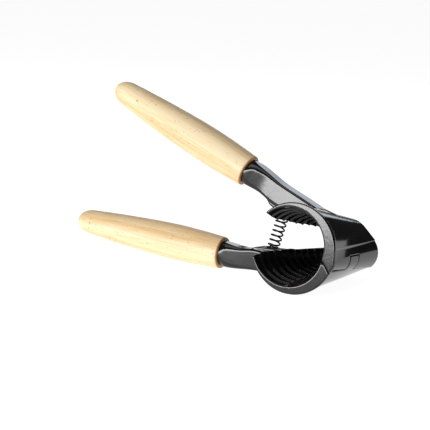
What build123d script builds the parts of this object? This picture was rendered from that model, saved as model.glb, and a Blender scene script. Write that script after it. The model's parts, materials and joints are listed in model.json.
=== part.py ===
"""Plier nutcracker: two hinged half-cone bowls with toothed insides, turned wooden
handles and a return spring.

Every piece is drawn in the tool frame with the bowls shut: the hinge axis is Y through the
origin, the bowls meet at z = 0, the nose points to +X and the handles to -X. The upper and
lower halves then swing open by half the rest opening each, and the whole tool is laid on the
floor z = 0, where it rests on the lower bowl and the lower handle.
"""

import os
from math import cos, radians, sin

from build123d import *

os.makedirs("parts", exist_ok=True)

# Opening of the tool, in degrees
rest_opening = 28.8  # between the two bowl edges when the spring holds the tool open
half_open = rest_opening / 2
stop_gap = 1.5  # left between the stop faces at rest

# Bowls: each half is cut from an oblique cone whose circles have their centres beyond the
# parting plane, so that the two open halves make one round mouth; x and z of the centres
mouth_y = -27.0
tail_y = 33.0
mouth_radius = 25.3
mouth_centre = (-18.4, -4.5)
tail_radius = 15.6
tail_centre = (-10.8, -1.0)
rim_depth = 2.4  # front band behind the mouth face
nose_radius_mouth = 6.9
nose_radius_rim = 7.2
upper_nose_radius = 12.3  # at the tail
upper_nose_x = -1.5
lower_nose_radius = 9.8
lower_nose_x = 0.0
tail_round = 3.0  # rounding of the tail end
tail_round_steps = 3

# Hollow of the bowls and its saw-tooth steps
hollow_mouth_radius = 21.1
hollow_mouth_centre = (-21.3, -4.4)
hollow_tail_radius = 8.8
hollow_tail_centre = (-14.8, -0.8)
tooth_count = 11
tooth_depth = 1.2

# Cut-back corner of each bowl edge at the mouth, on the handle side
corner_length = 8.0
corner_height = 2.4
corner_margin = 1.0  # by which the cutter stands out of the bowl

# Hinge
pin_diameter = 3.5
pin_clearance = 0.05  # radial
barrel_radius = 4.5
barrel_gap = 0.3  # between barrels and the casting around them
apex_relief = 1.6  # radius cleared along the axis in front of the barrels
pin_front_y = -9.0
barrel_front_wall = 2.0  # metal in front of the blind bore
knuckle_front_y = -5.0
knuckle_back_y = 6.0
split_angle = -25.0  # where the upper hood ends below the axis, bowls shut
notch_angle = 46.0  # top of the window in the upper hood that shows the knuckle
window_margin = 30.0  # by which the window runs out below the hood, in degrees
pin_head_diameter = 5.4
pin_head_height = 1.0
pin_head_round = 0.4

# Handles, turned, round, with the length measured from the ferrule end to the tip
handle_length = 103.8
handle_end = (-74.8, 7.16)  # x and z of the ferrule end's centre
handle_drop = 4.55  # degrees that the handle leans towards the other one, bowls shut
handle_end_radius = 9.4
handle_belly_radius = 10.6
handle_belly_share = 0.28  # place of the widest point as a share of the length
handle_waist_radius = 9.2
handle_waist = 33.9  # from the tip
handle_nose_radius = 7.2
handle_nose = 6.9  # from the tip
handle_edge = 1.0  # rounding of the ferrule end

# Arms of the castings
shoulder_diameter = 15.0
tang_diameter = 8.0
tang_length = 45.0
tang_clearance = 0.05  # radial, in the glued bore
bore_extra = 1.5
neck_x = -62.0
neck_height = 12.6
neck_width = 11.6
neck_z = 8.2
neck_corner = 3.8
beam_start_x = -54.0
beam_start_bottom = 1.7
beam_start_top = 14.0
beam_end_x = -18.0
beam_end_bottom = 6.0
beam_end_top = 15.9
beam_width = 11.0
beam_corner = 2.0

# Ledge between arm and bowl, which carries the spring
ledge_start_x = -56.6
ledge_start_z = 2.7
ledge_foot_x = -51.6
ledge_inner_x = -30.0
ledge_top = 9.0

# Return spring and its seats
spring_x = -43.0  # distance from the hinge axis along the ledge
spring_outer_diameter = 7.0
spring_wire = 0.8
spring_turns = 9
seat_clearance = 0.7  # radial, around the spring
seat_depth = 1.5
peg_diameter = 4.4
peg_height = 2.8

overlap = 1.0  # by which a cutting body reaches past the surface that it cuts
far = 120.0  # beyond every surface of the tool


def along_y(y):
    """Plane across the hinge axis at y, with its x along X and its y along Z."""
    return Plane(origin=(0, y, 0), x_dir=(1, 0, 0), z_dir=(0, -1, 0))


def share(start, end, y):
    """Value that runs evenly from start at the mouth to end at the tail."""
    return start + (end - start) * (y - mouth_y) / (tail_y - mouth_y)


def share_point(start, end, y):
    """Point of the XZ plane that runs evenly from the mouth to the tail."""
    return (share(start[0], end[0], y), share(start[1], end[1], y))


def ray(angle, length=far):
    """Point of the XZ plane at an angle above +X."""
    return (length * cos(radians(angle)), length * sin(radians(angle)))


# ---------------------------------------------------------------- shared tool bodies

# A half's solid head: hull of the cone's circle and the nose's circle at each station
rim_y = mouth_y + rim_depth
tail_round_y = tail_y - tail_round
front_end = mouth_y - overlap
back_end = tail_y + overlap


def hull_section(y, nose_x, nose_radius, inset=0.0):
    """Outline of a head at y, drawn smaller by inset all round."""
    with BuildSketch(along_y(y), mode=Mode.PRIVATE) as outline:
        with Locations(share_point(mouth_centre, tail_centre, y)):
            Circle(share(mouth_radius, tail_radius, y) - inset)
        with Locations((nose_x, 0)):
            Circle(nose_radius - inset)
        make_hull()
    return outline.sketch


def tail_section(angle, nose_x, nose_radius):
    """Outline of a head on its rounded tail, at an angle from 0 (side) to 90 (end face)."""
    y = tail_round_y + tail_round * sin(radians(angle))
    return hull_section(y, nose_x, nose_radius, tail_round * (1 - cos(radians(angle))))


def head_blank(nose_x, nose_radius):
    """Solid head whose nose ends at the tail with a given place and radius."""
    mouth = hull_section(mouth_y, 0, nose_radius_mouth)
    rim = hull_section(rim_y, 0, nose_radius_rim)
    turns = [90 * step / tail_round_steps for step in range(tail_round_steps + 1)]
    rounding = [tail_section(turn, nose_x, nose_radius) for turn in turns]
    with BuildPart(mode=Mode.PRIVATE) as blank:
        loft([mouth, rim], ruled=True)
        loft([rim, rounding[0]], ruled=True)
        for first, second in zip(rounding, rounding[1:]):
            loft([first, second], ruled=True)
    return blank.part


def hollow_section(y, inset=0.0):
    """Outline of the hollow at y, drawn smaller by inset all round."""
    with BuildSketch(along_y(y), mode=Mode.PRIVATE) as outline:
        with Locations(share_point(hollow_mouth_centre, hollow_tail_centre, y)):
            Circle(share(hollow_mouth_radius, hollow_tail_radius, y) - inset)
    return outline.sketch


upper_blank = head_blank(upper_nose_x, upper_nose_radius)
lower_blank = head_blank(lower_nose_x, lower_nose_radius)

# The hollow: one oblique cone step per tooth, each narrowing towards its own crest
tooth_pitch = (tail_y - mouth_y) / tooth_count

with BuildPart() as hollow:
    for tooth in range(tooth_count):
        front = mouth_y + tooth * tooth_pitch
        loft([hollow_section(front), hollow_section(front + tooth_pitch, tooth_depth)], ruled=True)


def cylinder_along_y(radius, start, end):
    """Round bar about the hinge axis from y = start to y = end."""
    with BuildPart(mode=Mode.PRIVATE) as bar:
        with BuildSketch(along_y(start)):
            Circle(radius)
        extrude(amount=start - end)
    return bar.part


def sector_along_y(first, last, start, end):
    """Wedge about the hinge axis from one angle round to another, from y = start to y = end."""
    turns = max(2, round((last - first) / 60))
    step = (last - first) / turns
    rim = [ray(first + step * k) for k in range(turns + 1)]
    with BuildPart(mode=Mode.PRIVATE) as wedge:
        with BuildSketch(along_y(start)):
            Polygon((0, 0), *rim, align=None)
        extrude(amount=start - end)
    return wedge.part


# Angles of the lower half's faces, measured on its own side of the parting plane
lower_split_angle = rest_opening + stop_gap - split_angle
knuckle_angle = rest_opening + stop_gap - notch_angle

# ---------------------------------------------------------------- arm, ledge and tang

# Both arms are alike, so this is the upper one; the lower half is mirrored at the end
end_x, end_z = handle_end
handle_axis = (-cos(radians(handle_drop)), 0, -sin(radians(handle_drop)))
shoulder_plane = Plane(
    origin=(end_x, 0, end_z),
    x_dir=(0, 1, 0),
    z_dir=(-handle_axis[0], 0, -handle_axis[2]),
)


def across_x(x, z):
    """Plane across the arm at x, centred at height z, with its x along Y."""
    return Plane(origin=(x, 0, z), x_dir=(0, 1, 0), z_dir=(1, 0, 0))


def arm_section(x, bottom, top, width, corner):
    """Outline of the arm at x."""
    with BuildSketch(across_x(x, (bottom + top) / 2), mode=Mode.PRIVATE) as outline:
        RectangleRounded(width, top - bottom, corner)
    return outline.sketch


with BuildSketch(shoulder_plane, mode=Mode.PRIVATE) as shoulder:
    RectangleRounded(shoulder_diameter, shoulder_diameter, shoulder_diameter / 2 - tang_clearance)

neck_bottom = neck_z - neck_height / 2
neck = arm_section(neck_x, neck_bottom, neck_bottom + neck_height, neck_width, neck_corner)
beam_start = arm_section(beam_start_x, beam_start_bottom, beam_start_top, beam_width, beam_corner)
beam_end = arm_section(beam_end_x, beam_end_bottom, beam_end_top, beam_width, beam_corner)

with BuildPart() as arm:
    loft([shoulder.sketch, neck, beam_start])
    loft([beam_start, beam_end], ruled=True)
    with BuildSketch(Plane.XZ):
        Polygon(
            (ledge_start_x, ledge_top),
            (ledge_start_x, ledge_start_z),
            (ledge_foot_x, 0),
            (ledge_inner_x, 0),
            (ledge_inner_x, ledge_top),
            align=None,
        )
    extrude(amount=beam_width / 2, both=True)
    with BuildSketch(shoulder_plane):
        Circle(tang_diameter / 2)
    extrude(amount=-tang_length)

# ---------------------------------------------------------------- spring seat

lean = radians(half_open)
seat_plane = Plane(
    origin=(spring_x, 0, 0),
    x_dir=(0, 1, 0),
    z_dir=(-sin(lean), 0, cos(lean)),
)

with BuildPart() as seat_pocket:
    with BuildSketch(seat_plane.offset(seat_depth)):
        Circle(spring_outer_diameter / 2 + seat_clearance)
    extrude(amount=-2 * seat_depth - spring_outer_diameter / 2)

with BuildPart() as seat_peg:
    with BuildSketch(seat_plane.offset(seat_depth)):
        Circle(peg_diameter / 2)
    extrude(amount=-peg_height)

# The wedge that cuts back the corner of a bowl's edge at the mouth
with BuildPart() as corner_cut:
    with BuildSketch(Plane.YZ.offset(mouth_centre[0] - mouth_radius - corner_margin)):
        Polygon(
            (mouth_y - corner_margin, -corner_margin),
            (mouth_y + corner_length, -corner_margin),
            (mouth_y + corner_length, 0),
            (mouth_y, corner_height),
            (mouth_y - corner_margin, corner_height),
            align=None,
        )
    extrude(amount=mouth_radius / 2)

# ---------------------------------------------------------------- castings

# Both are drawn on the upper side of the parting plane
pin_bore = cylinder_along_y(pin_diameter / 2 + pin_clearance, pin_front_y, back_end)
barrel_space = barrel_radius + barrel_gap
barrel_front_y = pin_front_y - barrel_front_wall
window = (knuckle_front_y, knuckle_back_y)
knuckle = (knuckle_front_y + barrel_gap, knuckle_back_y - barrel_gap)

with BuildPart() as upper_jaw:
    add(upper_blank)
    add(sector_along_y(split_angle, 180, front_end, back_end), mode=Mode.INTERSECT)
    add(cylinder_along_y(barrel_radius, barrel_front_y, knuckle_front_y))
    add(cylinder_along_y(barrel_radius, knuckle_back_y, tail_y))
    add(arm.part)
    add(hollow.part, mode=Mode.SUBTRACT)
    add(corner_cut.part, mode=Mode.SUBTRACT)
    add(cylinder_along_y(barrel_space, *window), mode=Mode.SUBTRACT)
    add(sector_along_y(split_angle - window_margin, notch_angle, *window), mode=Mode.SUBTRACT)
    add(pin_bore, mode=Mode.SUBTRACT)
    add(seat_pocket.part, mode=Mode.SUBTRACT)
    add(seat_peg.part)

with BuildPart() as knuckle_block:
    add(lower_blank)
    add(sector_along_y(knuckle_angle, lower_split_angle + overlap, *knuckle), mode=Mode.INTERSECT)
    add(cylinder_along_y(barrel_radius, *knuckle))

with BuildPart() as lower_casting:
    add(lower_blank)
    add(sector_along_y(lower_split_angle, 180, front_end, back_end), mode=Mode.INTERSECT)
    add(cylinder_along_y(apex_relief, front_end, pin_front_y), mode=Mode.SUBTRACT)
    add(cylinder_along_y(barrel_space, barrel_front_y - barrel_gap, knuckle[0]), mode=Mode.SUBTRACT)
    add(cylinder_along_y(barrel_space, knuckle[1], back_end), mode=Mode.SUBTRACT)
    add(knuckle_block.part)
    add(arm.part)
    add(hollow.part, mode=Mode.SUBTRACT)
    add(corner_cut.part, mode=Mode.SUBTRACT)
    add(pin_bore, mode=Mode.SUBTRACT)
    add(seat_pocket.part, mode=Mode.SUBTRACT)
    add(seat_peg.part)

with BuildPart() as lower_jaw:
    add(mirror(lower_casting.part, about=Plane.XY, mode=Mode.PRIVATE))

# ---------------------------------------------------------------- hinge pin

with BuildPart() as hinge_pin:
    with BuildSketch(along_y(pin_front_y + pin_clearance)):
        Circle(pin_diameter / 2)
    extrude(amount=pin_front_y - tail_y)
    with BuildSketch(along_y(tail_y + pin_clearance)):
        Circle(pin_head_diameter / 2)
    extrude(amount=-pin_head_height)
    head_rim = hinge_pin.edges().filter_by(GeomType.CIRCLE).sort_by(Axis.Y)[-1]
    fillet(head_rim, pin_head_round)

# ---------------------------------------------------------------- handles

handle_belly = handle_length * handle_belly_share
profile_plane = Plane(origin=(end_x, 0, end_z), x_dir=handle_axis, z_dir=(0, 1, 0))

with BuildPart() as upper_handle:
    with BuildSketch(profile_plane):
        with BuildLine():
            Line((handle_length, 0), (0, 0))
            Line((0, 0), (0, handle_end_radius))
            side = Spline(
                (0, handle_end_radius),
                (handle_belly, handle_belly_radius),
                (handle_length - handle_waist, handle_waist_radius),
                (handle_length - handle_nose, handle_nose_radius),
            )
            tip = Spline(
                side @ 1,
                (handle_length, 0),
                tangents=(side % 1, (0, -1)),
            )
        make_face()
    revolve(axis=Axis((end_x, 0, end_z), handle_axis))
    ferrule_edge = upper_handle.edges().filter_by(GeomType.CIRCLE).sort_by(Axis.X)[-1]
    fillet(ferrule_edge, handle_edge)
    with BuildSketch(shoulder_plane):
        Circle(tang_diameter / 2 + tang_clearance)
    extrude(amount=-tang_length - bore_extra, mode=Mode.SUBTRACT)

with BuildPart() as lower_handle:
    add(mirror(upper_handle.part, about=Plane.XY, mode=Mode.PRIVATE))

# ---------------------------------------------------------------- return spring

seat_radius = -spring_x
seat_x = -seat_radius * cos(lean)
seat_z = seat_radius * sin(lean) + seat_depth
coil_radius = (spring_outer_diameter - spring_wire) / 2
coil_height = 2 * (seat_z - spring_wire / 2 - pin_clearance)

with BuildPart() as return_spring:
    with BuildLine():
        coil = Helix(
            pitch=coil_height / spring_turns,
            height=coil_height,
            radius=coil_radius,
            center=(seat_x, 0, -coil_height / 2),
        )
    with BuildSketch(Plane(origin=coil @ 0, z_dir=coil % 0)):
        Circle(spring_wire / 2)
    sweep()

# ---------------------------------------------------------------- how the tool stands

support_steps = 60
swing_up = Rotation(0, half_open, 0)
swing_down = Rotation(0, -half_open, 0)


def lower_open(x, y, z):
    """Point of the lower half in the open tool, from its place with the bowls shut."""
    return Vector(x, y, z).rotate(Axis.Y, -half_open)


def handle_support(up):
    """Lowest point of the lower handle when up points upwards."""
    axis = lower_open(handle_axis[0], 0, -handle_axis[2])
    end = lower_open(end_x, 0, -end_z)
    round_down = (axis * axis.dot(up) - up).normalized()
    points = []
    for step in range(support_steps + 1):
        place = side @ (step / support_steps)
        points.append(end + axis * place.X + round_down * place.Y)
    return min(points, key=up.dot)


def floor_under(up):
    """Plane through the lowest points of bowl and handle when up points upwards."""
    across = Vector(-up.X, 0, -up.Z).normalized()
    mouth_x, mouth_z = mouth_centre
    mouth_point = lower_open(mouth_x, mouth_y, -mouth_z) + across * mouth_radius
    tail_x, tail_z = share_point(mouth_centre, tail_centre, tail_round_y)
    tail_reach = share(mouth_radius, tail_radius, tail_round_y)
    tail_point = lower_open(tail_x, tail_round_y, -tail_z) + across * tail_reach
    belly_point = handle_support(up)
    normal = (mouth_point - belly_point).cross(tail_point - belly_point).normalized()
    along = Vector(1, 0, 0) - normal * normal.X
    return Plane(origin=mouth_point, x_dir=along, z_dir=normal)


floor = floor_under(Vector(0, 0, 1))
for settle in range(8):
    floor = floor_under(floor.z_dir)
stand = floor.location.inverse()

pieces = {
    "upper_jaw": (upper_jaw, swing_up),
    "lower_jaw": (lower_jaw, swing_down),
    "upper_handle": (upper_handle, swing_up),
    "lower_handle": (lower_handle, swing_down),
    "hinge_pin": (hinge_pin, swing_up),
    "return_spring": (return_spring, Rotation(0, 0, 0)),
}

for piece, swing in pieces.values():
    piece.part = piece.part.moved(stand * swing)

# The origin is the middle of the tool's box, on the floor
boxes = [piece.part.bounding_box() for piece, swing in pieces.values()]
low = Vector(*(min(getattr(box.min, side) for box in boxes) for side in "XYZ"))
high = Vector(*(max(getattr(box.max, side) for box in boxes) for side in "XYZ"))
origin = Vector((low.X + high.X) / 2, (low.Y + high.Y) / 2, low.Z)
centred = Location(-origin)

for name, (piece, swing) in pieces.items():
    piece.part = piece.part.moved(centred)
    piece.part.label = name
    export_step(piece.part, f"parts/{name}.step")

# Where the hinge axis and the tool's own directions lie once the tool stands
tool_frame = centred * stand
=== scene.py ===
"""Looks of the plier nutcracker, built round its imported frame.

The castings are drawn as distance fields in the tool frame with the bowls shut: the hinge axis
is Y through the origin, the bowls meet at z = 0, the nose points to +X and the handles to -X.
Each half is then swung open and laid where the frame's hinge says. Sizes are in millimetres.
"""

import json
import logging
import math
from dataclasses import dataclass, field
from enum import Enum
from itertools import product
from typing import Callable, Sequence

import bpy
import numpy as np
from mathutils import Matrix, Vector


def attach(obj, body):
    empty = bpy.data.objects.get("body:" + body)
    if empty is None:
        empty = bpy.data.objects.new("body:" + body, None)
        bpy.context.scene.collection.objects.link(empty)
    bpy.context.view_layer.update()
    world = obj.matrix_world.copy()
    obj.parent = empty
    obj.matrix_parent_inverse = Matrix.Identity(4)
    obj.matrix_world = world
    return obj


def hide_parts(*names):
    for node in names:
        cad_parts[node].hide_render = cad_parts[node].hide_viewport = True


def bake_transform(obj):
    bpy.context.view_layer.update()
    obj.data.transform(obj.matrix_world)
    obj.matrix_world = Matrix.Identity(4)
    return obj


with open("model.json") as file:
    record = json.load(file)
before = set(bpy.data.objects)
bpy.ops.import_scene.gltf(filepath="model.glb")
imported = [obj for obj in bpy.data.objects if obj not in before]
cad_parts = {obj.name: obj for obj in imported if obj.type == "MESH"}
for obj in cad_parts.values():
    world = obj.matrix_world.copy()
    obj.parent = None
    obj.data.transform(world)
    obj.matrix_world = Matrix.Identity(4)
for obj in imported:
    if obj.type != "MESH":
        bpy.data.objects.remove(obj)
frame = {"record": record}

log = logging.getLogger("nutcracker")

MM = 0.001
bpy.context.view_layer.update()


# ------------------------------------------------------------------ small tools


def linear(code: str) -> tuple[float, float, float, float]:
    """Turn an sRGB hex colour into a linear colour.

    Args:
        code: six hex digits, such as "F3DDB5".

    Returns:
        Red, green, blue and an alpha of 1, all linear.
    """
    parts = [int(code[k : k + 2], 16) / 255 for k in (0, 2, 4)]
    light = [p / 12.92 if p <= 0.04045 else ((p + 0.055) / 1.055) ** 2.4 for p in parts]
    return (*light, 1.0)


def add_node(
    tree: bpy.types.NodeTree, kind: str, settings: dict | None = None, **links: object
) -> bpy.types.Node:
    """Add a node with its settings and its inputs.

    Args:
        tree: the node tree that gets the node.
        kind: the node's type name.
        settings: properties of the node itself.
        links: each input by name or number (as "_0"), given a value or an output socket.

    Returns:
        The new node.
    """
    node = tree.nodes.new(kind)
    for name, value in (settings or {}).items():
        setattr(node, name, value)
    for name, value in links.items():
        key = int(name[1:]) if name.startswith("_") else name.replace("__", " ")
        socket = node.inputs[key]
        if isinstance(value, bpy.types.NodeSocket):
            tree.links.new(value, socket)
        else:
            socket.default_value = value
    return node


def colour_steps(ramp: bpy.types.Node, steps: Sequence[tuple[float, str]]) -> None:
    """Set a colour ramp's stops.

    Args:
        ramp: the ColorRamp node.
        steps: pairs of a place from 0 to 1 and an sRGB hex colour.
    """
    stops = ramp.color_ramp.elements
    while len(stops) < len(steps):
        stops.new(0.5)
    for stop, (place, code) in zip(stops, steps):
        stop.position = place
        stop.color = linear(code)


def blank_material(name: str) -> tuple[bpy.types.Material, bpy.types.NodeTree]:
    """Make a material with an empty node tree.

    Args:
        name: the material's name.

    Returns:
        The material and its tree.
    """
    made = bpy.data.materials.new(name)
    made.use_nodes = True
    made.node_tree.nodes.clear()
    return made, made.node_tree


def noise(
    tree: bpy.types.NodeTree, place: bpy.types.NodeSocket, size_mm: float, detail: float
) -> bpy.types.NodeSocket:
    """Add a noise whose blotches have a real size.

    Args:
        tree: the node tree.
        place: object coordinates, in metres.
        size_mm: size of a blotch in millimetres.
        detail: how many finer octaves it has.

    Returns:
        The noise's value, about 0 to 1.
    """
    scale = 1 / (size_mm * MM)
    return add_node(tree, "ShaderNodeTexNoise", Vector=place, Scale=scale, Detail=detail).outputs["Fac"]


def spread(
    tree: bpy.types.NodeTree,
    value: bpy.types.NodeSocket,
    target: tuple[float, float],
    source: tuple[float, float] = (0.0, 1.0),
) -> bpy.types.Node:
    """Add a node that maps one range to another.

    Args:
        tree: the node tree.
        value: what is mapped.
        target: first and last value that come out.
        source: the values that they stand for.

    Returns:
        The node.
    """
    node = add_node(tree, "ShaderNodeMapRange", Value=value)
    for name, limit in zip(("From Min", "From Max", "To Min", "To Max"), (*source, *target)):
        node.inputs[name].default_value = limit
    return node


def bump(
    tree: bpy.types.NodeTree, height: bpy.types.NodeSocket, strength: float, depth_mm: float
) -> bpy.types.Node:
    """Add a bump node.

    Args:
        tree: the node tree.
        height: the pattern, 0 to 1.
        strength: how much of it shows.
        depth_mm: depth of the pattern in millimetres.

    Returns:
        The node.
    """
    return add_node(tree, "ShaderNodeBump", Height=height, Strength=strength, Distance=depth_mm * MM)


def bearing(azimuth: float, elevation: float) -> Vector:
    """Direction away from the tool, with 0 degrees to its front and the azimuth growing to its right."""
    turn, rise = math.radians(azimuth), math.radians(elevation)
    return Vector((math.sin(turn) * math.cos(rise), -math.cos(turn) * math.cos(rise), math.sin(rise)))


def mesh_object(
    name: str, points: np.ndarray, faces: Sequence[Sequence[int]], smooth: bool = True
) -> bpy.types.Object:
    """Make a mesh object at the origin from points in metres.

    Args:
        name: the object's name.
        points: vertex places in the row frame.
        faces: vertex numbers of each face.
        smooth: whether its faces are shaded smooth.

    Returns:
        The new object, linked to the scene.
    """
    mesh = bpy.data.meshes.new(name)
    mesh.from_pydata([tuple(map(float, p)) for p in points], [], [tuple(map(int, f)) for f in faces])
    mesh.validate()
    mesh.polygons.foreach_set("use_smooth", [smooth] * len(mesh.polygons))
    mesh.update()
    piece = bpy.data.objects.new(name, mesh)
    bpy.context.scene.collection.objects.link(piece)
    return piece


def point_attribute(piece: bpy.types.Object, name: str, values: np.ndarray) -> None:
    """Store a vector on each vertex, for a pattern that follows the surface.

    Args:
        piece: the mesh object.
        name: the attribute's name.
        values: one row of three numbers for each vertex.
    """
    layer = piece.data.attributes.new(name, "FLOAT_VECTOR", "POINT")
    layer.data.foreach_set("vector", np.asarray(values, np.float32).ravel())


def turned_faces(rings: int, around: int) -> list[tuple[int, ...]]:
    """Faces of a turned body: quads between its rings, and a fan that closes each pole.

    Args:
        rings: how many rings of points there are; the two poles are the points after them.
        around: points in each ring.

    Returns:
        Vertex numbers of each face.
    """
    faces: list[tuple[int, ...]] = []
    for ring, k in product(range(rings - 1), range(around)):
        n = (k + 1) % around
        a, b = ring * around, (ring + 1) * around
        faces.append((a + k, b + k, b + n, a + n))
    base, peak = rings * around, rings * around + 1
    last = (rings - 1) * around
    for k in range(around):
        n = (k + 1) % around
        faces.append((base, k, n))
        faces.append((peak, last + n, last + k))
    return faces


def flowing(stations: Sequence[tuple[float, float]], x: np.ndarray) -> np.ndarray:
    """Read a smooth curve through a few stations, with an even slope through each.

    Args:
        stations: pairs of place and value, in order of place.
        x: the places to read.

    Returns:
        The curve's value at each place.
    """
    place, value = (np.array(column, float) for column in zip(*stations))
    slope = np.gradient(value, place)
    k = np.clip(np.searchsorted(place, x) - 1, 0, len(place) - 2)
    width = place[k + 1] - place[k]
    t = np.clip((x - place[k]) / width, 0, 1)
    start = (2 * t**3 - 3 * t**2 + 1) * value[k] + (t**3 - 2 * t**2 + t) * width * slope[k]
    end = (3 * t**2 - 2 * t**3) * value[k + 1] + (t**3 - t**2) * width * slope[k + 1]
    return start + end


# ------------------------------------------------------------------ distance fields


def rounded_max(a: np.ndarray, b: np.ndarray, radius: float) -> np.ndarray:
    """Cut one body by another, with an outer edge of a given radius."""
    round_part = np.hypot(np.maximum(a + radius, 0), np.maximum(b + radius, 0))
    return np.minimum(np.maximum(a, b), -radius) + round_part


def rounded_min(a: np.ndarray, b: np.ndarray, radius: float) -> np.ndarray:
    """Join two bodies, with an inner corner of a given radius."""
    return -rounded_max(-a, -b, radius)


def smooth_step(x: np.ndarray, start: float, end: float) -> np.ndarray:
    """Rise from 0 at start to 1 at end without a kink."""
    t = np.clip((x - start) / (end - start), 0, 1)
    return t * t * (3 - 2 * t)


def surface_net(values: np.ndarray, low: np.ndarray, cell: float) -> tuple[np.ndarray, np.ndarray]:
    """Make a quad mesh of the zero surface of a field sampled on a grid.

    Args:
        values: the field at each grid point, negative inside.
        low: place of the first grid point.
        cell: distance between grid points.

    Returns:
        The vertices, and the quads facing outwards.
    """
    inside = values < 0
    shape = tuple(n - 1 for n in values.shape)
    total = np.zeros((*shape, 3), np.float32)
    count = np.zeros(shape, np.float32)
    for axis, a, b in product(range(3), (0, 1), (0, 1)):
        start = [a, b]
        start.insert(axis, 0)
        first = tuple(slice(s, s + n) for s, n in zip(start, shape))
        moved = [s + (k == axis) for k, s in enumerate(start)]
        second = tuple(slice(s, s + n) for s, n in zip(moved, shape))
        crossed = inside[first] != inside[second]
        gap = np.where(crossed, values[first] - values[second], 1)
        share = np.where(crossed, values[first] / gap, 0)
        for k in range(3):
            total[..., k] += np.where(crossed, share if k == axis else start[k], 0)
        count += crossed
    used = count > 0
    number = np.full(shape, -1, np.int64)
    number[used] = np.arange(used.sum())
    points = (np.argwhere(used) + total[used] / count[used][:, None]) * cell + low
    quads = []
    for axis in range(3):
        u, v = np.eye(3, dtype=int)[(axis + 1) % 3], np.eye(3, dtype=int)[(axis + 2) % 3]
        ahead = tuple(slice(1, None) if k == axis else slice(1, -1) for k in range(3))
        behind = tuple(slice(None, -1) if k == axis else slice(1, -1) for k in range(3))
        crossed = inside[behind] != inside[ahead]
        place = np.argwhere(crossed) + u + v
        ring = [tuple((place - shift).T) for shift in (u + v, v, 0 * u, u)]
        quad = np.stack([number[corner] for corner in ring], axis=1)
        outward = inside[behind][crossed]
        quad[~outward] = quad[~outward][:, ::-1]
        quads.append(quad)
    return points, np.concatenate(quads)


def settle(points: np.ndarray, distance: Callable[[np.ndarray], np.ndarray], reach: float) -> np.ndarray:
    """Move points onto the zero surface of a field.

    Args:
        points: places near the surface.
        distance: the field.
        reach: the furthest that one move may go.

    Returns:
        The moved points.
    """
    small = 0.02
    for _ in range(3):
        here = distance(points)
        slope = np.empty_like(points)
        for k in range(3):
            step = np.zeros(3)
            step[k] = small
            slope[:, k] = (distance(points + step) - distance(points - step)) / (2 * small)
        steep = np.maximum((slope**2).sum(axis=1), 0.25)
        points = points - slope * np.clip(here / steep, -reach, reach)[:, None]
    return points


# ------------------------------------------------------------------ finishes


@dataclass(frozen=True)
class GlossEnamel:
    """Black stoved enamel on die-cast metal: deep black under a smooth hard gloss, with the faint
    orange peel and pinholes that sprayed enamel keeps."""

    name: str = "black stoved enamel on die-cast metal"
    colour: str = "0B0B0C"
    worn_colour: str = "1B1A19"
    cloud_mm: float = 9.0
    peel_mm: float = 2.2
    peel_depth_mm: float = 0.12
    speck_mm: float = 0.45
    speck_depth_mm: float = 0.03
    roughness: tuple[float, float] = (0.08, 0.16)
    ior: float = 1.46

    def material(self) -> bpy.types.Material:
        """Build the material."""
        made, tree = blank_material(self.name)
        place = add_node(tree, "ShaderNodeTexCoord").outputs["Object"]
        tone = add_node(tree, "ShaderNodeValToRGB", Fac=noise(tree, place, self.cloud_mm, 3.0))
        colour_steps(tone, [(0.35, self.colour), (0.8, self.worn_colour)])
        speck = noise(tree, place, self.speck_mm, 2.0)
        rough = spread(tree, speck, self.roughness)
        wave = bump(tree, noise(tree, place, self.peel_mm, 1.0), 0.12, self.peel_depth_mm)
        grit = bump(tree, speck, 0.1, self.speck_depth_mm)
        tree.links.new(wave.outputs["Normal"], grit.inputs["Normal"])
        shade = add_node(
            tree,
            "ShaderNodeBsdfPrincipled",
            Base__Color=tone.outputs["Color"],
            Roughness=rough.outputs["Result"],
            IOR=self.ior,
            Normal=grit.outputs["Normal"],
        )
        add_node(tree, "ShaderNodeOutputMaterial", Surface=shade.outputs["BSDF"])
        return made


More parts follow.
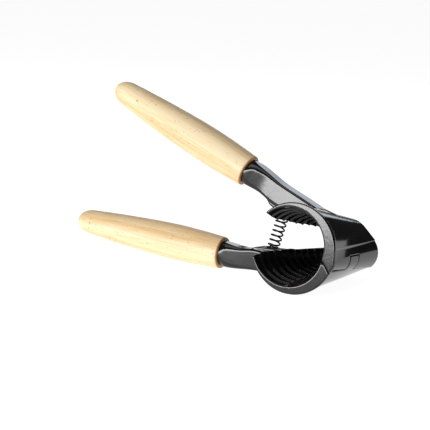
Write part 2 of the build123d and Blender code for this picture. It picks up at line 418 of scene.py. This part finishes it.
@dataclass(frozen=True)
class TurnedWood:
    """Pale hardwood turned on a lathe and lightly oiled: fine grain along the handle, short brown
    flecks, and end grain that the tool burnished darker at the ferrule end."""

    name: str = "turned beech, oiled"
    pale: str = "F0DBB4"
    warm: str = "E4C594"
    streak: str = "D6AE78"
    fleck: str = "8F5F32"
    burnish: str = "B5763A"
    fibre_mm: float = 0.8
    band_mm: float = 6.25
    fleck_mm: float = 0.76923
    burnish_mm: float = 1.1
    relief_mm: float = 0.08
    grain_stretch: float = 0.035
    fleck_stretch: float = 0.3
    seed_shift_mm: float = 37.0
    roughness: tuple[float, float] = (0.38, 0.58)
    ior: float = 1.45

    def material(self, seed: float) -> bpy.types.Material:
        """Build the material.

        Args:
            seed: shifts the grain, so that no two handles match.

        Returns:
            The material, which reads the handle's "turned" attribute in millimetres.
        """
        made, tree = blank_material(f"{self.name} {seed:.0f}")
        turned = add_node(tree, "ShaderNodeAttribute", {"attribute_name": "turned"}).outputs["Vector"]
        shift = (seed * self.seed_shift_mm, seed, seed)
        shifted = add_node(tree, "ShaderNodeVectorMath", {"operation": "ADD"}, _0=turned, _1=shift).outputs[0]
        stretch = (self.grain_stretch, 1.0, 1.0)
        long_grain = add_node(tree, "ShaderNodeMapping", Vector=shifted, Scale=stretch).outputs[0]
        bands = add_node(
            tree, "ShaderNodeTexNoise", Vector=long_grain, Scale=1 / self.band_mm, Detail=3.0, Distortion=0.4
        )
        fibres = add_node(
            tree, "ShaderNodeTexNoise", Vector=long_grain, Scale=1 / self.fibre_mm, Detail=4.0
        )
        mixed = add_node(
            tree, "ShaderNodeMath", {"operation": "MULTIPLY_ADD"}, _0=fibres.outputs["Fac"], _1=0.55
        )
        tree.links.new(bands.outputs["Fac"], mixed.inputs[2])
        tone = add_node(tree, "ShaderNodeValToRGB", Fac=mixed.outputs[0])
        colour_steps(tone, [(0.45, self.streak), (0.66, self.warm), (0.9, self.pale)])
        stretch = (self.fleck_stretch, 1.0, 1.0)
        short = add_node(tree, "ShaderNodeMapping", Vector=shifted, Scale=stretch).outputs[0]
        dashes = add_node(tree, "ShaderNodeTexNoise", Vector=short, Scale=1 / self.fleck_mm, Detail=1.0)
        picked = spread(tree, dashes.outputs["Fac"], (0.0, 0.75), (0.69, 0.76))
        flecked = add_node(tree, "ShaderNodeMix", {"data_type": "RGBA"}, _0=picked.outputs[0])
        tree.links.new(tone.outputs["Color"], flecked.inputs[6])
        flecked.inputs[7].default_value = linear(self.fleck)
        along = add_node(tree, "ShaderNodeSeparateXYZ", _0=turned).outputs[0]
        burnt = spread(tree, along, (0.85, 0.0), (0.1, self.burnish_mm))
        burnt.interpolation_type = "SMOOTHSTEP"
        ended = add_node(tree, "ShaderNodeMix", {"data_type": "RGBA"}, _0=burnt.outputs[0])
        tree.links.new(flecked.outputs[2], ended.inputs[6])
        ended.inputs[7].default_value = linear(self.burnish)
        rough = spread(tree, fibres.outputs["Fac"], self.roughness)
        relief = bump(tree, mixed.outputs[0], 0.25, self.relief_mm)
        shade = add_node(
            tree,
            "ShaderNodeBsdfPrincipled",
            Base__Color=ended.outputs[2],
            Roughness=rough.outputs["Result"],
            IOR=self.ior,
            Normal=relief.outputs["Normal"],
        )
        shade.inputs["Coat Weight"].default_value = 0.12
        shade.inputs["Coat Roughness"].default_value = 0.3
        add_node(tree, "ShaderNodeOutputMaterial", Surface=shade.outputs["BSDF"])
        return made


@dataclass(frozen=True)
class BareSteel:
    """Drawn or turned steel: a metal sheen broken by fine draw marks and a thin brown oxide."""

    name: str
    colour: str
    oxide: str
    roughness: float
    cloud_mm: float = 2.5
    mark_mm: float = 0.3
    mark_depth_mm: float = 0.02

    def material(self) -> bpy.types.Material:
        """Build the material."""
        made, tree = blank_material(self.name)
        place = add_node(tree, "ShaderNodeTexCoord").outputs["Object"]
        tone = add_node(tree, "ShaderNodeValToRGB", Fac=noise(tree, place, self.cloud_mm, 3.0))
        colour_steps(tone, [(0.4, self.colour), (0.75, self.oxide)])
        marks = noise(tree, place, self.mark_mm, 2.0)
        rough = spread(tree, marks, (self.roughness * 0.8, self.roughness * 1.25))
        relief = bump(tree, marks, 0.15, self.mark_depth_mm)
        shade = add_node(
            tree,
            "ShaderNodeBsdfPrincipled",
            Base__Color=tone.outputs["Color"],
            Metallic=1.0,
            Roughness=rough.outputs["Result"],
            Normal=relief.outputs["Normal"],
        )
        add_node(tree, "ShaderNodeOutputMaterial", Surface=shade.outputs["BSDF"])
        return made


# ------------------------------------------------------------------ the tool's own frame


@dataclass(frozen=True)
class Opening:
    """How far the tool is open at rest, in degrees between the bowl edges."""

    rest: float = 28.8
    stop_gap: float = 1.5

    @property
    def half(self) -> float:
        """Swing of each half from shut to rest, in degrees."""
        return self.rest / 2


class Half(Enum):
    """The two halves of the tool, with the sign of z on each half's side."""

    UPPER = 1
    LOWER = -1

    @property
    def body(self) -> str:
        """Name of the CAD body."""
        return "upper_half" if self is Half.UPPER else "lower_half"


@dataclass
class ToolFrame:
    """Places points of the tool frame in the row frame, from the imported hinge."""

    opening: Opening = field(default_factory=Opening)

    def __post_init__(self) -> None:
        """Read the hinge: its axis points to the mouth, and the nose lies square to it, in line with X."""
        hinge = frame["record"]["behaviour"]["joints"][0]
        self.origin = np.array(hinge["pos_m"])
        back = -Vector(hinge["axis"]).normalized()
        nose = back.cross(Vector((0, 1, 0))).normalized()
        up = nose.cross(back)
        self.axes = np.array([nose, back, up])

    def place(self, points: np.ndarray) -> np.ndarray:
        """Turn points of the open tool, in millimetres, into row frame metres."""
        return self.origin + np.asarray(points) @ self.axes * MM

    def swing(self, points: np.ndarray, half: Half) -> np.ndarray:
        """Open one half.

        Args:
            points: places on the half with the bowls shut and z positive on its own side.
            half: which half it is.

        Returns:
            The places in the open tool.
        """
        angle = math.radians(self.opening.half)
        x, y, z = np.asarray(points, float).T
        turned = (x * math.cos(angle) + z * math.sin(angle), y, -x * math.sin(angle) + z * math.cos(angle))
        return np.stack([turned[0], turned[1], turned[2] * half.value], axis=1)


# ------------------------------------------------------------------ castings


@dataclass
class Casting:
    """One die-cast half: bowl with saw-tooth inside, hinge knuckles, arm and spring ledge."""

    half: Half
    tool: ToolFrame
    cell: float = 0.4
    mouth_y: float = -27.0
    tail_y: float = 33.0
    tail_round: float = 3.0
    mouth_circle: tuple[float, float, float] = (-18.4, -4.5, 25.3)
    tail_circle: tuple[float, float, float] = (-10.8, -1.0, 15.6)
    rim_depth: float = 2.4
    rim_step: float = 0.7
    nose_radii: tuple[float, float] = (6.9, 7.2)
    hood_angle: float = 79.0
    hood_step: float = 0.55
    hollow_mouth: tuple[float, float, float] = (-21.3, -4.4, 21.1)
    hollow_tail: tuple[float, float, float] = (-14.8, -0.8, 8.8)
    teeth: int = 11
    tooth_depth: float = 1.2
    tooth_shape: tuple[tuple[float, float], ...] = (
        (0.0, 0.0), (0.66, 0.3), (0.7, 1.0), (0.84, 1.0), (0.97, 0.0), (1.0, 0.0),
    )
    tooth_edge: float = 0.3
    cone_lean: float = 0.93
    corner_length: float = 8.0
    corner_height: float = 2.4
    corner_inner_x: float = -31.0
    barrel_radius: float = 4.5
    barrel_gap: float = 0.3
    barrel_front: float = -11.0
    apex_relief: float = 1.6
    knuckle: tuple[float, float] = (-5.0, 6.0)
    split_angle: float = -25.0
    notch_angle: float = 46.0
    web_half_width: float = 5.0
    sunk_x: float = -76.5
    arm_end_x: float = -18.0
    arm_blend: float = 1.6
    web_blend: float = 0.5
    edge: float = 0.45
    arm_height: tuple[tuple[float, float], ...] = (
        (-78.0, 6.9), (-74.8, 7.16), (-69.0, 7.8), (-62.0, 8.2),
        (-54.0, 7.85), (-36.0, 9.4), (-18.0, 10.95),
    )
    arm_half_height: tuple[tuple[float, float], ...] = (
        (-78.0, 7.5), (-74.8, 7.5), (-69.0, 6.95), (-62.0, 6.3),
        (-54.0, 6.15), (-36.0, 5.55), (-18.0, 4.95),
    )
    arm_half_width: tuple[tuple[float, float], ...] = (
        (-78.0, 7.5), (-74.8, 7.5), (-69.0, 6.7), (-62.0, 5.8), (-54.0, 5.5), (-36.0, 5.5), (-18.0, 5.5),
    )
    arm_corner: tuple[tuple[float, float], ...] = (
        (-78.0, 7.5), (-74.8, 7.4), (-71.0, 4.2), (-66.0, 2.7),
        (-60.0, 1.9), (-54.0, 1.5), (-36.0, 1.3), (-18.0, 1.3),
    )
    ledge: tuple[tuple[float, float], ...] = ((-56.6, 2.7), (-51.6, 0.0))
    ledge_end_x: float = -30.0
    ledge_top: float = 9.0
    seat_x: float = -43.0
    seat_radius: float = 4.2
    seat_depth: float = 1.5
    peg_radius: float = 2.2
    peg_height: float = 2.8
    peg_root: float = 4.0

    @property
    def tail_nose(self) -> tuple[float, float]:
        """Place and radius of the nose's circle at the tail; the upper hood stands out past the lower."""
        return (-1.5, 12.3) if self.half is Half.UPPER else (0.0, 9.8)

    def circle(self, mouth: Sequence[float], tail: Sequence[float], y: np.ndarray) -> list[np.ndarray]:
        """Centre x, centre z and radius of a cone's circle at y."""
        share = (y - self.mouth_y) / (self.tail_y - self.mouth_y)
        return [first + (last - first) * share for first, last in zip(mouth, tail)]

    def sector(self, start: float, x: np.ndarray, z: np.ndarray) -> np.ndarray:
        """Distance field of the wedge about the hinge axis from an angle round to 180 degrees."""
        turn = math.radians(start)
        above = -x * math.sin(turn) + z * math.cos(turn)
        join = np.maximum if start < 0 else np.minimum
        return -join(z, above)

    def head(self, x: np.ndarray, y: np.ndarray, z: np.ndarray) -> np.ndarray:
        """Distance field of the closed double bowl, a cone with the nose's barrel along it."""
        rim_y = self.mouth_y + self.rim_depth
        stations = (self.mouth_y, rim_y, self.tail_y - self.tail_round)
        nose_x, nose_radius = self.tail_nose
        small = np.interp(y, stations, (*self.nose_radii, nose_radius))
        centre_x, centre_z, large = self.circle(self.mouth_circle, self.tail_circle, y)
        away_x = np.interp(y, stations, (0, 0, nose_x)) - centre_x
        away_z = -centre_z
        reach = np.hypot(away_x, away_z)
        lean = np.clip((large - small) / reach, -0.99, 0.99)
        rise = np.sqrt(1 - lean**2)
        ahead = ((x - centre_x) * away_x + (z - centre_z) * away_z) / reach
        side = np.abs((x - centre_x) * away_z - (z - centre_z) * away_x) / reach
        place = -side * lean + ahead * rise
        outside = np.where(
            place < 0,
            np.hypot(side, ahead) - large,
            np.where(
                place > rise * reach,
                np.hypot(side, ahead - reach) - small,
                side * rise + ahead * lean - large,
            ),
        )
        outside = outside + self.rim_step * smooth_step(y, rim_y - 0.2, rim_y + 0.5)
        if self.half is Half.UPPER:
            turn = math.radians(self.hood_angle)
            past = x * math.sin(turn) - z * math.cos(turn)
            behind_rim = smooth_step(y, rim_y, rim_y + 1)
            outside = outside + self.hood_step * smooth_step(past, -0.2, 0.35) * behind_rim
        capped = rounded_max(outside, self.mouth_y - y, 0.5)
        return rounded_max(capped, y - self.tail_y, self.tail_round)

    def hollow(self, x: np.ndarray, y: np.ndarray, z: np.ndarray) -> np.ndarray:
        """Distance field of the toothed hollow; a tooth climbs slowly to a lip and drops behind it."""
        pitch = (self.tail_y - self.mouth_y) / self.teeth
        phase = np.mod((y - self.mouth_y) / pitch, 1.0)
        tooth = self.tooth_depth * np.interp(phase, *zip(*self.tooth_shape))
        centre_x, centre_z, radius = self.circle(self.hollow_mouth, self.hollow_tail, y)
        return (np.hypot(x - centre_x, z - centre_z) - radius + tooth) * self.cone_lean

    def arm(self, x: np.ndarray, y: np.ndarray, z: np.ndarray) -> np.ndarray:
        """Distance field of the arm: round at the handle, then necked, then a square-edged beam."""
        corner = flowing(self.arm_corner, x)
        out_y = np.abs(y) - flowing(self.arm_half_width, x) + corner
        out_z = np.abs(z - flowing(self.arm_height, x)) - flowing(self.arm_half_height, x) + corner
        beyond = np.hypot(np.maximum(out_y, 0), np.maximum(out_z, 0))
        section = beyond + np.minimum(np.maximum(out_y, out_z), 0) - corner
        ends = np.maximum(self.sunk_x - x, x - self.arm_end_x)
        return np.maximum(section, ends)

    def spring_ledge(self, x: np.ndarray, y: np.ndarray, z: np.ndarray) -> np.ndarray:
        """Distance field of the web under the arm that carries the spring."""
        (x0, z0), (x1, z1) = self.ledge
        run = math.hypot(x1 - x0, z1 - z0)
        slope = ((z1 - z0) * (x - x0) - (x1 - x0) * (z - z0)) / run
        block = rounded_max(-z, slope, 0.5)
        block = np.maximum(block, np.maximum(x - self.ledge_end_x, np.maximum(z - self.ledge_top, x0 - x)))
        return rounded_max(block, np.abs(y) - self.web_half_width, 0.6)

    def distance(self, points: np.ndarray) -> np.ndarray:
        """Distance field of the whole casting, bowls shut, z positive on its own side.

        Args:
            points: places in millimetres, in the last axis.

        Returns:
            The distance to the casting's surface, negative inside.
        """
        x, y, z = points[..., 0], points[..., 1], points[..., 2]
        front, back = self.knuckle
        axle = np.hypot(x, z)
        middle = np.maximum(front - y, y - back)
        barrel = axle - self.barrel_radius
        space = barrel - self.barrel_gap
        if self.half is Half.UPPER:
            kept = self.sector(self.split_angle, x, z)
            window = np.minimum(-middle, self.sector(self.notch_angle, x, z))
            body = rounded_max(self.head(x, y, z), kept, self.edge)
            body = rounded_max(body, window, 0.25)
            sleeves = np.maximum(barrel, np.maximum(self.barrel_front - y, -middle))
            body = np.minimum(body, np.maximum(sleeves, y - self.tail_y))
            body = np.maximum(body, -np.maximum(space, middle))
        else:
            start = -self.split_angle + self.tool.opening.rest + self.tool.opening.stop_gap
            lift = -(self.notch_angle - self.tool.opening.rest - self.tool.opening.stop_gap)
            inner = middle + self.barrel_gap
            head = self.head(x, y, z)
            body = rounded_max(head, self.sector(start, x, z), self.edge)
            beside = np.maximum(-inner, self.barrel_front - self.barrel_gap - y)
            body = np.maximum(body, -np.maximum(space, beside))
            body = np.maximum(body, -np.maximum(axle - self.apex_relief, y - self.barrel_front))
            lug = np.maximum(rounded_max(head, self.sector(lift, x, z), 0.35), inner)
            body = np.minimum(body, np.minimum(lug, np.maximum(barrel, inner)))
        limb = rounded_min(self.arm(x, y, z), self.spring_ledge(x, y, z), self.web_blend)
        body = rounded_min(body, limb, self.arm_blend)
        body = rounded_max(body, -self.hollow(x, y, z), self.tooth_edge)
        height, length = self.corner_height, self.corner_length
        cut = (height * (y - self.mouth_y) + length * z - height * length) / math.hypot(height, length)
        beside_mouth = np.maximum(cut, x - self.corner_inner_x)
        body = rounded_max(body, -beside_mouth, 0.5)
        return self.seated(body, x, y, z)

    def seated(self, body: np.ndarray, x: np.ndarray, y: np.ndarray, z: np.ndarray) -> np.ndarray:
        """Cut the spring's pocket into the ledge and leave its peg standing."""
        lean = math.radians(self.tool.opening.half)
        up = -(x - self.seat_x) * math.sin(lean) + z * math.cos(lean)
        across = np.hypot((x - self.seat_x) * math.cos(lean) + z * math.sin(lean), y)
        pocket = np.maximum(across - self.seat_radius, np.abs(up + 1.5) - self.seat_depth - 1.5)
        peg_ends = np.maximum(self.seat_depth - self.peg_height - up, up - self.peg_root)
        peg = rounded_max(across - self.peg_radius, peg_ends, 0.5)
        return np.minimum(rounded_max(body, -pocket, 0.25), peg)

    def build(self) -> bpy.types.Object:
        """Mesh the field and lay the casting in the row frame."""
        low = np.array([self.sunk_x - 1.2, self.mouth_y - 1.2, -9.0])
        high = np.array([13.0, self.tail_y + 1.2, 25.5])
        if self.half is Half.LOWER:
            low[2] = -6.0
        steps = [np.arange(a, b, self.cell) for a, b in zip(low, high)]
        grid = np.stack(np.meshgrid(*steps, indexing="ij"), axis=-1).astype(np.float32)
        points, quads = surface_net(self.distance(grid), low, self.cell)
        points = settle(points, self.distance, self.cell / 3)
        if self.half is Half.LOWER:
            quads = quads[:, ::-1]
        name = "upper_casting" if self.half is Half.UPPER else "lower_casting"
        placed = self.tool.place(self.tool.swing(points, self.half))
        return mesh_object(name, placed, quads)

    def dress(self, piece: bpy.types.Object, enamel: bpy.types.Material) -> None:
        """Give the casting its enamel and its body."""
        piece.data.materials.append(enamel)
        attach(piece, self.half.body)
        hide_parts("upper_jaw" if self.half is Half.UPPER else "lower_jaw")


# ------------------------------------------------------------------ handles


@dataclass
class TurnedHandle:
    """One wooden handle, a body of revolution from its ferrule end to its round tip."""

    half: Half
    tool: ToolFrame
    length: float = 103.8
    end_x: float = -74.8
    end_z: float = 7.16
    drop: float = 4.55
    edge: float = 1.0
    tip: float = 9.5
    tip_fullness: float = 2.3
    stations: tuple[tuple[float, float], ...] = (
        (0.0, 9.4), (12.0, 10.05), (29.0, 10.6), (44.0, 10.42), (58.0, 9.85),
        (69.9, 9.2), (83.9, 8.3), (96.9, 7.2), (103.8, 6.4),
    )
    around: int = 128

    def profile(self) -> np.ndarray:
        """Points of the outline as place along the handle and radius, from pole to pole."""
        face = [(0.0, r) for r in np.linspace(0.4, self.stations[0][1] - self.edge, 8)]
        turn = np.linspace(0, math.pi / 2, 7)[1:]
        rounded = [
            (self.edge * (1 - math.cos(t)), self.stations[0][1] - self.edge * (1 - math.sin(t))) for t in turn
        ]
        start = self.length - self.tip
        side = np.linspace(self.edge + 0.8, start, 110)
        dome = start + self.tip * np.sin(np.linspace(0, math.pi / 2, 26)[1:-1])
        share = (dome - start) / self.tip
        body = [(s, r) for s, r in zip(side, flowing(self.stations, side))]
        radii = flowing(self.stations, dome)
        round_tip = [(s, r * math.sqrt(1 - u**self.tip_fullness)) for s, r, u in zip(dome, radii, share)]
        return np.array(face + rounded + body + round_tip)

    def build(self) -> bpy.types.Object:
        """Mesh the handle, with each pole closed, and keep its place on the lathe for the grain."""
        outline = self.profile()
        turn = np.linspace(0, 2 * math.pi, self.around, endpoint=False)
        s, r = outline[:, :1], outline[:, 1:]
        rings = np.stack([s + 0 * turn, r * np.cos(turn), r * np.sin(turn)], axis=2).reshape(-1, 3)
        local = np.vstack([rings, [(0.0, 0.0, 0.0), (self.length, 0.0, 0.0)]])
        faces = turned_faces(len(outline), self.around)
        drop = math.radians(self.drop)
        axis = np.array([-math.cos(drop), 0, -math.sin(drop)])
        across = np.array([-math.sin(drop), 0, math.cos(drop)])
        shut = np.array([self.end_x, 0, self.end_z]) + local @ np.array([axis, (0, 1, 0), across])
        if self.half is Half.LOWER:
            faces = [f[::-1] for f in faces]
        placed = self.tool.place(self.tool.swing(shut, self.half))
        name = "upper_wood_handle" if self.half is Half.UPPER else "lower_wood_handle"
        piece = mesh_object(name, placed, faces)
        point_attribute(piece, "turned", local)
        return piece

    def dress(self, piece: bpy.types.Object, wood: bpy.types.Material) -> None:
        """Give the handle its wood and its body."""
        piece.data.materials.append(wood)
        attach(piece, self.half.body)
        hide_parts("upper_handle" if self.half is Half.UPPER else "lower_handle")


# ------------------------------------------------------------------ hinge pin


@dataclass
class HingePin:
    """Headed steel pin; only its domed head shows, at the tail of the hinge."""

    tool: ToolFrame
    front: float = -8.9
    back: float = 33.05
    radius: float = 1.75
    head_radius: float = 2.7
    head_height: float = 0.9
    lead: float = 0.35
    head_edge: tuple[float, float] = (0.1, 0.15)
    head_wall: float = 0.3
    head_fullness: float = 0.7
    around: int = 64

    def build(self) -> bpy.types.Object:
        """Mesh the pin as a closed turned body."""
        inset, rise = self.head_edge
        outline = [
            (self.front, self.radius - self.lead),
            (self.front + self.lead, self.radius),
            (self.back, self.radius),
            (self.back, self.head_radius - inset),
            (self.back + rise, self.head_radius),
        ]
        dome = self.head_height - self.head_wall
        for t in np.linspace(0, math.pi / 2, 9)[:-1]:
            radius = self.head_radius * math.cos(t) ** self.head_fullness
            outline.append((self.back + self.head_wall + dome * math.sin(t), radius))
        turn = np.linspace(0, 2 * math.pi, self.around, endpoint=False)
        y = np.array([p[0] for p in outline])[:, None] + 0 * turn
        r = np.array([p[1] for p in outline])[:, None]
        rings = np.stack([r * np.cos(turn), y, r * np.sin(turn)], axis=2).reshape(-1, 3)
        local = np.vstack([rings, [(0, self.front, 0), (0, self.back + self.head_height, 0)]])
        faces = turned_faces(len(outline), self.around)
        return mesh_object("hinge_pin_steel", self.tool.place(local), faces)

    def dress(self, piece: bpy.types.Object, steel: bpy.types.Material) -> None:
        """Give the pin its steel and its body."""
        piece.data.materials.append(steel)
        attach(piece, Half.UPPER.body)
        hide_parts("hinge_pin")


# ------------------------------------------------------------------ return spring


@dataclass
class ReturnSpring:
    """Compression spring with closed ends, wound by Geometry Nodes between its two seats."""

    tool: ToolFrame
    seat_distance: float = 43.0
    seat_depth: float = 1.5
    outer_diameter: float = 7.4
    wire: float = 1.0
    turns: float = 9.5
    steps: int = 720
    wire_sides: int = 14

    def ends(self) -> tuple[np.ndarray, np.ndarray]:
        """Centres of the lower and upper seat floors in the open tool."""
        half = math.radians(self.tool.opening.half)
        x = -self.seat_distance * math.cos(half)
        z = self.seat_distance * math.sin(half) + self.seat_depth
        return np.array([x, 0, -z]), np.array([x, 0, z])

    def tree(self, wire_material: bpy.types.Material) -> bpy.types.NodeTree:
        """Build the node tree that winds the coil along +Z from the origin, in millimetres."""
        tree = bpy.data.node_groups.new("wound coil", "GeometryNodeTree")
        face = tree.interface
        for name in ("Height", "Coil Radius", "Wire Radius", "Turns"):
            face.new_socket(name, in_out="INPUT", socket_type="NodeSocketFloat")
        face.new_socket("Geometry", in_out="OUTPUT", socket_type="NodeSocketGeometry")
        given = add_node(tree, "NodeGroupInput").outputs

        def sums(kind: str, *values: object) -> bpy.types.NodeSocket:
            """Add a math node of one kind."""
            links = {f"_{k}": v for k, v in enumerate(values)}
            return add_node(tree, "ShaderNodeMath", {"operation": kind}, **links).outputs[0]

        line = add_node(tree, "GeometryNodeMeshLine", {"mode": "OFFSET"}, Count=self.steps)
        curve = add_node(tree, "GeometryNodeMeshToCurve", Mesh=line.outputs[0])
        share = sums("DIVIDE", add_node(tree, "GeometryNodeInputIndex").outputs[0], float(self.steps - 1))
        turn = sums("MULTIPLY", share, given["Turns"])
        angle = sums("MULTIPLY", turn, 2 * math.pi)
        across = sums("MULTIPLY", sums("COSINE", angle), given["Coil Radius"])
        side = sums("MULTIPLY", sums("SINE", angle), given["Coil Radius"])
        closed = sums("MULTIPLY", given["Wire Radius"], 2.0)
        free = sums("SUBTRACT", given["Turns"], 2.0)
        left = sums("SUBTRACT", given["Height"], sums("MULTIPLY", closed, 3.0))
        pitch = sums("DIVIDE", left, free)
        first = sums("MULTIPLY", sums("MINIMUM", turn, 1.0), closed)
        active = sums("MINIMUM", sums("MAXIMUM", sums("SUBTRACT", turn, 1.0), 0.0), free)
        past_free = sums("SUBTRACT", sums("SUBTRACT", turn, 1.0), free)
        rest = sums("MULTIPLY", sums("MAXIMUM", past_free, 0.0), closed)
        wound = sums("ADD", first, sums("MULTIPLY", active, pitch))
        height = sums("ADD", wound, sums("ADD", rest, given["Wire Radius"]))
        place = add_node(tree, "ShaderNodeCombineXYZ", X=across, Y=side, Z=height)
        moved = add_node(
            tree, "GeometryNodeSetPosition", Geometry=curve.outputs[0], Position=place.outputs[0]
        )
        ring = add_node(
            tree, "GeometryNodeCurvePrimitiveCircle", Resolution=self.wire_sides, Radius=given["Wire Radius"]
        )
        tube = add_node(
            tree, "GeometryNodeCurveToMesh", Curve=moved.outputs[0], Profile__Curve=ring.outputs[0]
        )
        tube.inputs["Fill Caps"].default_value = True
        real = add_node(tree, "GeometryNodeRealizeInstances", Geometry=tube.outputs[0])
        smooth = add_node(tree, "GeometryNodeSetShadeSmooth", Geometry=real.outputs[0])
        dressed = add_node(
            tree, "GeometryNodeSetMaterial", Geometry=smooth.outputs[0], Material=wire_material
        )
        add_node(tree, "NodeGroupOutput", Geometry=dressed.outputs[0])
        return tree

    def build(self, wire_material: bpy.types.Material) -> bpy.types.Object:
        """Wind the coil, turn it into a plain mesh and stand it between its seats."""
        low, high = self.ends()
        tree = self.tree(wire_material)
        holder = mesh_object("coil_holder", np.zeros((1, 3)), [])
        modifier = holder.modifiers.new("coil", "NODES")
        modifier.node_group = tree
        sizes = {
            "Height": float(high[2] - low[2]),
            "Coil Radius": (self.outer_diameter - self.wire) / 2,
            "Wire Radius": self.wire / 2,
            "Turns": self.turns,
        }
        for item in tree.interface.items_tree:
            if item.in_out == "INPUT":
                modifier[item.identifier] = sizes[item.name]
        bpy.context.view_layer.update()
        graph = bpy.context.evaluated_depsgraph_get()
        mesh = bpy.data.meshes.new_from_object(holder.evaluated_get(graph))
        bpy.data.objects.remove(holder)
        local = np.array([v.co for v in mesh.vertices]) + low
        placed = self.tool.place(local)
        mesh.vertices.foreach_set("co", placed.ravel())
        mesh.update()
        piece = bpy.data.objects.new("return_spring_wire", mesh)
        bpy.context.scene.collection.objects.link(piece)
        return piece

    def dress(self, piece: bpy.types.Object) -> None:
        """Hide the CAD spring and bake the coil's place into its mesh."""
        low, high = (tuple(self.tool.place(end[None])[0]) for end in self.ends())
        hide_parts("return_spring")
        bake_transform(piece)


# ------------------------------------------------------------------ studio


@dataclass(frozen=True)
class Softbox:
    """A rectangular softbox that faces the tool."""

    name: str
    azimuth: float
    elevation: float
    distance: float
    size: tuple[float, float]
    power: float
    tint: str = "FFFFFF"

    def hang(self, target: Vector) -> None:
        """Put the light in place.

        Args:
            target: the point that it faces.
        """
        away = bearing(self.azimuth, self.elevation)
        lamp = bpy.data.lights.new(self.name, "AREA")
        lamp.shape = "RECTANGLE"
        lamp.size, lamp.size_y = self.size
        lamp.energy = self.power
        lamp.color = linear(self.tint)[:3]
        holder = bpy.data.objects.new(self.name, lamp)
        holder.location = target + away * self.distance
        holder.rotation_euler = away.to_track_quat("Z", "Y").to_euler()
        bpy.context.scene.collection.objects.link(holder)


@dataclass
class Studio:
    """Pale floor, soft lights and the camera."""

    azimuth: float = 30.157
    elevation: float = 11.627
    roll: float = 2.461
    distance: float = 0.7
    lens: float = 104.785
    aim: tuple[float, float, float] = (-0.06421, -0.0325, 0.02021)
    floor_size: float = 40.0
    lights: tuple[Softbox, ...] = (
        Softbox("overhead softbox", 0, 80, 1.25, (1.3, 1.0), 6.5),
        Softbox("front left softbox", -22, 6.4, 1.1, (0.6, 0.3), 9),
        Softbox("back strip softbox", -156, 17, 1.2, (0.72, 0.42), 1.8, "E9F0FA"),
    )

    def floor(self) -> bpy.types.Object:
        """Lay the floor just under the tool."""
        half = self.floor_size / 2
        corners = np.array([(-half, -half, 0), (half, -half, 0), (half, half, 0), (-half, half, 0)])
        floor = mesh_object("studio_floor", corners, [(0, 1, 2, 3)], smooth=False)
        made, tree = blank_material("backlit white acrylic floor")
        shade = add_node(tree, "ShaderNodeBsdfPrincipled", Base__Color=linear("9C9C9C"), Roughness=0.9)
        shade.inputs["Emission Color"].default_value = linear("FFFFFF")
        shade.inputs["Emission Strength"].default_value = 0.95
        add_node(tree, "ShaderNodeOutputMaterial", Surface=shade.outputs["BSDF"])
        floor.data.materials.append(made)
        return floor

    def camera(self, hinge: Vector) -> None:
        """Set the camera up.

        Args:
            hinge: the hinge's place, from which the aim is measured.
        """
        away = bearing(self.azimuth, self.elevation)
        lens = bpy.data.cameras.new("camera")
        lens.lens = self.lens
        lens.sensor_width = 36.0
        lens.clip_end = 50.0
        holder = bpy.data.objects.new("camera", lens)
        roll = Matrix.Rotation(math.radians(self.roll), 3, "Z")
        facing = away.to_track_quat("Z", "Y").to_matrix() @ roll
        spot = hinge + Vector(self.aim) + away * self.distance
        holder.matrix_world = Matrix.Translation(spot) @ facing.to_4x4()
        bpy.context.scene.collection.objects.link(holder)
        bpy.context.scene.camera = holder

    def build(self, hinge: Vector) -> None:
        """Lay the floor, hang the lights and set the camera up."""
        self.floor()
        middle = hinge + Vector((-0.05, 0, 0.02))
        for light in self.lights:
            light.hang(middle)
        world = bpy.data.worlds.new("studio")
        world.use_nodes = True
        world.node_tree.nodes["Background"].inputs[0].default_value = (1, 1, 1, 1)
        world.node_tree.nodes["Background"].inputs[1].default_value = 0.03
        bpy.context.scene.world = world
        bpy.context.scene.view_settings.view_transform = "Standard"
        self.camera(hinge)


def main() -> None:
    """Build every piece in order and report it."""
    logging.basicConfig(level=logging.INFO, format="%(message)s")
    tool = ToolFrame()
    enamel = GlossEnamel().material()
    wood = TurnedWood()
    for number, half in enumerate(Half):
        casting = Casting(half, tool)
        piece = casting.build()
        casting.dress(piece, enamel)
        log.info("%s: %d quads", piece.name, len(piece.data.polygons))
        handle = TurnedHandle(half, tool)
        grip = handle.build()
        handle.dress(grip, wood.material(number + 1))
        log.info("%s: %d faces", grip.name, len(grip.data.polygons))
    pin = HingePin(tool)
    pin.dress(pin.build(), BareSteel("turned steel, oiled", "8C8C8E", "6A665F", 0.3).material())
    spring = ReturnSpring(tool)
    coil = spring.build(BareSteel("blackened spring wire", "2A2A2C", "191513", 0.35).material())
    spring.dress(coil)
    log.info("%s: %d faces", coil.name, len(coil.data.polygons))
    Studio().build(Vector(tool.origin))


if __name__ == "__main__":
    main()
